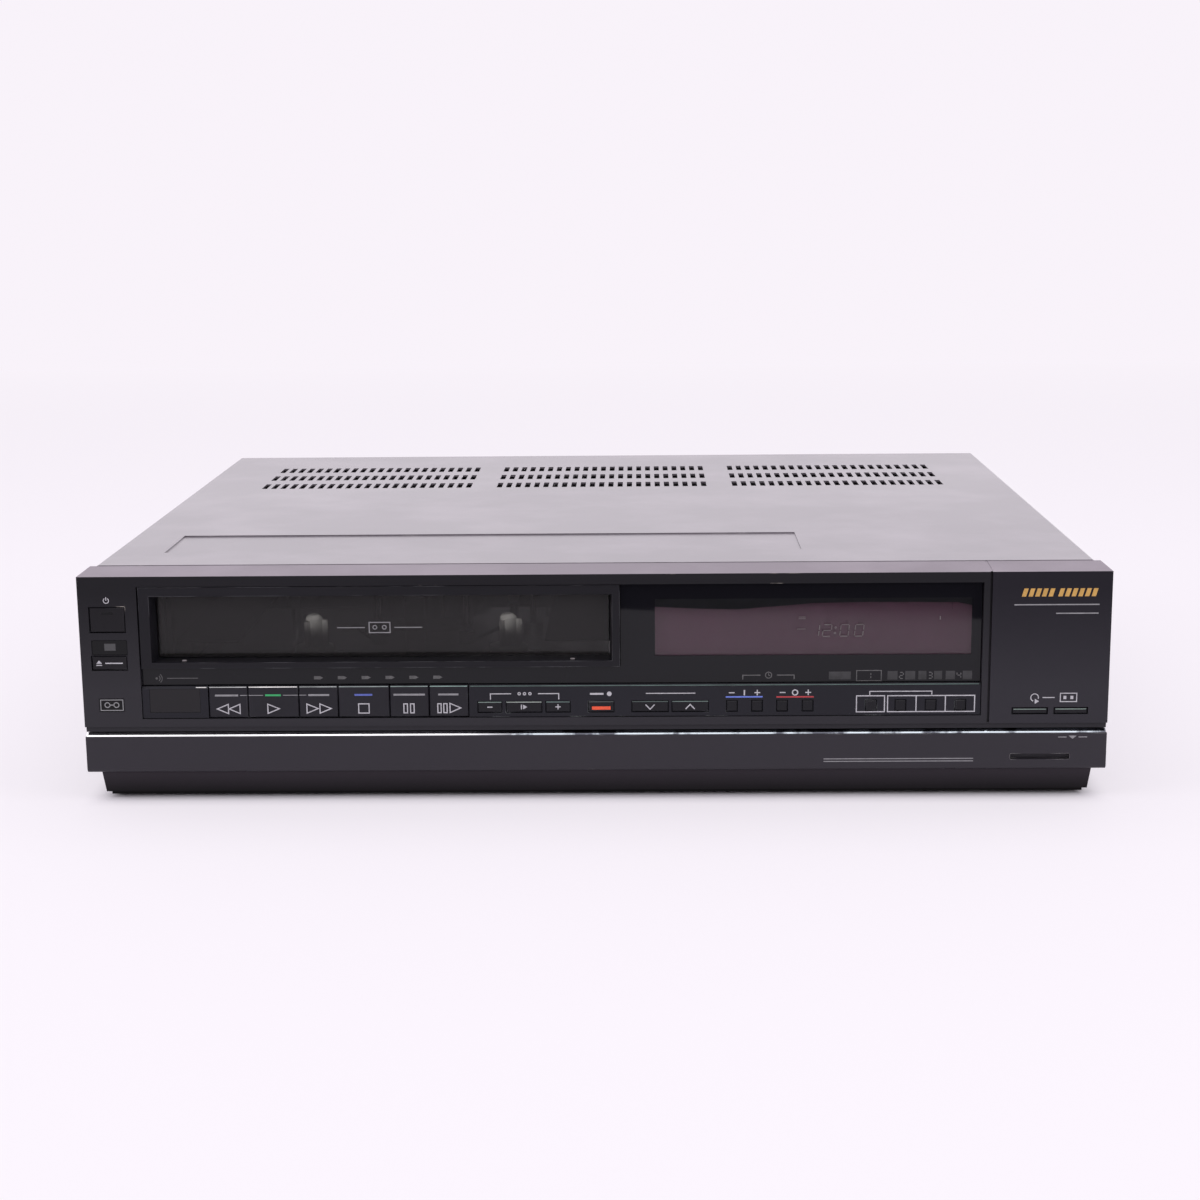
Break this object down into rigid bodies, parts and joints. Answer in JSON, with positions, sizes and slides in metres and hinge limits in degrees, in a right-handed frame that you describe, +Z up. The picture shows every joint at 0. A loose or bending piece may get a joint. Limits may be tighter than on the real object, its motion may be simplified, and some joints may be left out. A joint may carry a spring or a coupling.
{
  "type": "video cassette recorder",
  "caption": "Front-loading video cassette recorder: steel cover, charcoal front with cassette door, display window, push keys and drop-down flap, tape deck inside",
  "frame": {"origin": "middle of the overall footprint, on the surface the feet stand on", "axes": "+Z up; -Y is the front, where the cassette goes in; +X is to the right for someone facing the front"},
  "size_m": [0.43, 0.36, 0.099],
  "materials": {
    "pan_plastic": "fine-grained charcoal moulding",
    "foot_rubber": "black moulded rubber",
    "cover_paint": "charcoal baked enamel, low sheen",
    "screw_steel": "blackened steel",
    "bezel_plastic": "charcoal moulding with satin lacquer",
    "frame_plastic": "charcoal moulding, fine texture",
    "smoked_window": "smoked acrylic",
    "smoked_door": "smoked acrylic",
    "tube_glass": "flat glass display tube",
    "board_laminate": "green lacquered circuit laminate",
    "core_iron": "varnished laminations",
    "tinned_steel": "tinned steel",
    "jack_plastic": "black moulding",
    "zinc_steel": "zinc plated sheet",
    "basket_steel": "black coated sheet",
    "polished_steel": "polished steel",
    "drum_aluminium": "fine turned aluminium",
    "reel_plastic": "off-white moulding",
    "roller_rubber": "ground rubber",
    "flap_plastic": "charcoal moulding, satin",
    "chrome_trim": "bright plated strip",
    "key_plastic": "charcoal moulding, satin"
  },
  "bodies": {
    "chassis": {"base_pan": "pan_plastic", "feet": "foot_rubber", "top_cover": "cover_paint", "cover_screws": "screw_steel", "rear_panel": "cover_paint", "front_bezel": "bezel_plastic", "right_panel": "bezel_plastic", "door_frame": "frame_plastic", "display_window": "smoked_window", "key_panel": "frame_plastic", "sensor_window": "smoked_door", "display_tube": "tube_glass", "front_board": "board_laminate", "main_board": "board_laminate", "power_transformer": "core_iron", "tuner_box": "tinned_steel", "av_jacks": "jack_plastic", "mains_inlet": "jack_plastic", "deck_plate": "zinc_steel", "tape_heads": "polished_steel", "lower_drum": "drum_aluminium", "loader_frame": "zinc_steel"},
    "flap": {"flap": "flap_plastic", "chrome_strip": "chrome_trim"},
    "upper_drum": {"upper_drum": "drum_aluminium"},
    "supply_reel": {"supply_reel": "reel_plastic"},
    "takeup_reel": {"takeup_reel": "reel_plastic"},
    "capstan": {"capstan": "polished_steel"},
    "pinch_arm": {"pinch_arm": "zinc_steel"},
    "pinch_roller": {"pinch_roller": "roller_rubber"},
    "guide_left": {"guide_left": "polished_steel"},
    "guide_right": {"guide_right": "polished_steel"},
    "sledge": {"sledge": "zinc_steel"},
    "cassette_basket": {"cassette_basket": "basket_steel"},
    "cassette_door": {"cassette_door": "smoked_door"},
    "tracking_knob": {"tracking_knob": "key_plastic"},
    "rewind_key": {"rewind_key": "key_plastic"},
    "play_key": {"play_key": "key_plastic"},
    "fast_forward_key": {"fast_forward_key": "key_plastic"},
    "stop_key": {"stop_key": "key_plastic"},
    "pause_key": {"pause_key": "key_plastic"},
    "frame_advance_key": {"frame_advance_key": "key_plastic"},
    "slow_minus_button": {"slow_minus_button": "key_plastic"},
    "slow_play_button": {"slow_play_button": "key_plastic"},
    "slow_plus_button": {"slow_plus_button": "key_plastic"},
    "record_button": {"record_button": "key_plastic"},
    "channel_down_button": {"channel_down_button": "key_plastic"},
    "channel_up_button": {"channel_up_button": "key_plastic"},
    "on_minus_button": {"on_minus_button": "key_plastic"},
    "on_plus_button": {"on_plus_button": "key_plastic"},
    "off_minus_button": {"off_minus_button": "key_plastic"},
    "off_plus_button": {"off_plus_button": "key_plastic"},
    "select_button_1": {"select_button_1": "key_plastic"},
    "select_button_2": {"select_button_2": "key_plastic"},
    "select_button_3": {"select_button_3": "key_plastic"},
    "select_button_4": {"select_button_4": "key_plastic"},
    "power_button": {"power_button": "key_plastic"},
    "eject_button": {"eject_button": "key_plastic"},
    "reset_button": {"reset_button": "key_plastic"},
    "memory_button": {"memory_button": "key_plastic"}
  },
  "joints": [
    {"name": "flap_hinge", "type": "hinge", "parent": "chassis", "child": "flap", "pos_m": [0, -0.178, 0.0145], "axis": [1, 0, 0], "range_deg": [0, 90]},
    {"name": "door_hinge", "type": "hinge", "parent": "chassis", "child": "cassette_door", "pos_m": [-0.08865, -0.17, 0.0884], "axis": [1, 0, 0], "range_deg": [0, 89], "stiffness_Nm_per_rad": 0.002},
    {"name": "sledge_slide", "type": "slide", "parent": "chassis", "child": "sledge", "axis": [0, 1, 0], "range_m": [0, 0.03]},
    {"name": "basket_drop", "type": "slide", "parent": "sledge", "child": "cassette_basket", "axis": [0, 0, -1], "range_m": [0, 0.018]},
    {"name": "tracking_turn", "type": "hinge", "parent": "chassis", "child": "tracking_knob", "pos_m": [-0.06, -0.166, 0.0221], "axis": [0, -1, 0], "range_deg": [-150, 150]},
    {"name": "drum_spin", "type": "hinge", "parent": "chassis", "child": "upper_drum", "pos_m": [-0.08865, 0.034, 0.036], "axis": [0, 0.1045, 0.9945], "continuous": true},
    {"name": "supply_spin", "type": "hinge", "parent": "chassis", "child": "supply_reel", "pos_m": [-0.13465, -0.064, 0.035], "axis": [0, 0, 1], "continuous": true},
    {"name": "takeup_spin", "type": "hinge", "parent": "chassis", "child": "takeup_reel", "pos_m": [-0.04265, -0.064, 0.035], "axis": [0, 0, 1], "continuous": true},
    {"name": "capstan_spin", "type": "hinge", "parent": "chassis", "child": "capstan", "pos_m": [-0.03465, 0.01, 0.03], "axis": [0, 0, 1], "continuous": true},
    {"name": "pinch_swing", "type": "hinge", "parent": "chassis", "child": "pinch_arm", "pos_m": [-0.00465, 0.02, 0.035], "axis": [0, 0, 1], "range_deg": [0, 35], "stiffness_Nm_per_rad": 0.005},
    {"name": "pinch_roll", "type": "hinge", "parent": "pinch_arm", "child": "pinch_roller", "pos_m": [-0.02672, 0.03413, 0.05], "axis": [0, 0, 1], "continuous": true},
    {"name": "guide_left_run", "type": "slide", "parent": "chassis", "child": "guide_left", "axis": [-0.3786, 0.9255, 0], "range_m": [0, 0.0475]},
    {"name": "guide_right_run", "type": "slide", "parent": "chassis", "child": "guide_right", "axis": [0.3786, 0.9255, 0], "range_m": [0, 0.0475]},
    {"name": "rewind_press", "type": "slide", "parent": "chassis", "child": "rewind_key", "axis": [0, 1, 0], "range_m": [0, 0.0012], "stiffness_N_per_m": 400},
    {"name": "play_press", "type": "slide", "parent": "chassis", "child": "play_key", "axis": [0, 1, 0], "range_m": [0, 0.0012], "stiffness_N_per_m": 400},
    {"name": "fast_forward_press", "type": "slide", "parent": "chassis", "child": "fast_forward_key", "axis": [0, 1, 0], "range_m": [0, 0.0012], "stiffness_N_per_m": 400},
    {"name": "stop_press", "type": "slide", "parent": "chassis", "child": "stop_key", "axis": [0, 1, 0], "range_m": [0, 0.0012], "stiffness_N_per_m": 400},
    {"name": "pause_press", "type": "slide", "parent": "chassis", "child": "pause_key", "axis": [0, 1, 0], "range_m": [0, 0.0012], "stiffness_N_per_m": 400},
    {"name": "frame_advance_press", "type": "slide", "parent": "chassis", "child": "frame_advance_key", "axis": [0, 1, 0], "range_m": [0, 0.0012], "stiffness_N_per_m": 400},
    {"name": "slow_minus_press", "type": "slide", "parent": "chassis", "child": "slow_minus_button", "axis": [0, 1, 0], "range_m": [0, 0.0012], "stiffness_N_per_m": 400},
    {"name": "slow_play_press", "type": "slide", "parent": "chassis", "child": "slow_play_button", "axis": [0, 1, 0], "range_m": [0, 0.0012], "stiffness_N_per_m": 400},
    {"name": "slow_plus_press", "type": "slide", "parent": "chassis", "child": "slow_plus_button", "axis": [0, 1, 0], "range_m": [0, 0.0012], "stiffness_N_per_m": 400},
    {"name": "record_press", "type": "slide", "parent": "chassis", "child": "record_button", "axis": [0, 1, 0], "range_m": [0, 0.0012], "stiffness_N_per_m": 400},
    {"name": "channel_down_press", "type": "slide", "parent": "chassis", "child": "channel_down_button", "axis": [0, 1, 0], "range_m": [0, 0.0012], "stiffness_N_per_m": 400},
    {"name": "channel_up_press", "type": "slide", "parent": "chassis", "child": "channel_up_button", "axis": [0, 1, 0], "range_m": [0, 0.0012], "stiffness_N_per_m": 400},
    {"name": "on_minus_press", "type": "slide", "parent": "chassis", "child": "on_minus_button", "axis": [0, 1, 0], "range_m": [0, 0.0012], "stiffness_N_per_m": 400},
    {"name": "on_plus_press", "type": "slide", "parent": "chassis", "child": "on_plus_button", "axis": [0, 1, 0], "range_m": [0, 0.0012], "stiffness_N_per_m": 400},
    {"name": "off_minus_press", "type": "slide", "parent": "chassis", "child": "off_minus_button", "axis": [0, 1, 0], "range_m": [0, 0.0012], "stiffness_N_per_m": 400},
    {"name": "off_plus_press", "type": "slide", "parent": "chassis", "child": "off_plus_button", "axis": [0, 1, 0], "range_m": [0, 0.0012], "stiffness_N_per_m": 400},
    {"name": "select_1_press", "type": "slide", "parent": "chassis", "child": "select_button_1", "axis": [0, 1, 0], "range_m": [0, 0.0012], "stiffness_N_per_m": 400},
    {"name": "select_2_press", "type": "slide", "parent": "chassis", "child": "select_button_2", "axis": [0, 1, 0], "range_m": [0, 0.0012], "stiffness_N_per_m": 400},
    {"name": "select_3_press", "type": "slide", "parent": "chassis", "child": "select_button_3", "axis": [0, 1, 0], "range_m": [0, 0.0012], "stiffness_N_per_m": 400},
    {"name": "select_4_press", "type": "slide", "parent": "chassis", "child": "select_button_4", "axis": [0, 1, 0], "range_m": [0, 0.0012], "stiffness_N_per_m": 400},
    {"name": "power_press", "type": "slide", "parent": "chassis", "child": "power_button", "axis": [0, 1, 0], "range_m": [0, 0.0012], "stiffness_N_per_m": 400},
    {"name": "eject_press", "type": "slide", "parent": "chassis", "child": "eject_button", "axis": [0, 1, 0], "range_m": [0, 0.0012], "stiffness_N_per_m": 400},
    {"name": "reset_press", "type": "slide", "parent": "chassis", "child": "reset_button", "axis": [0, 1, 0], "range_m": [0, 0.0012], "stiffness_N_per_m": 400},
    {"name": "memory_press", "type": "slide", "parent": "chassis", "child": "memory_button", "axis": [0, 1, 0], "range_m": [0, 0.0012], "stiffness_N_per_m": 400}
  ],
  "couplings": [
    {"joint": "guide_right_run", "follows": "guide_left_run", "ratio": 1}
  ]
}
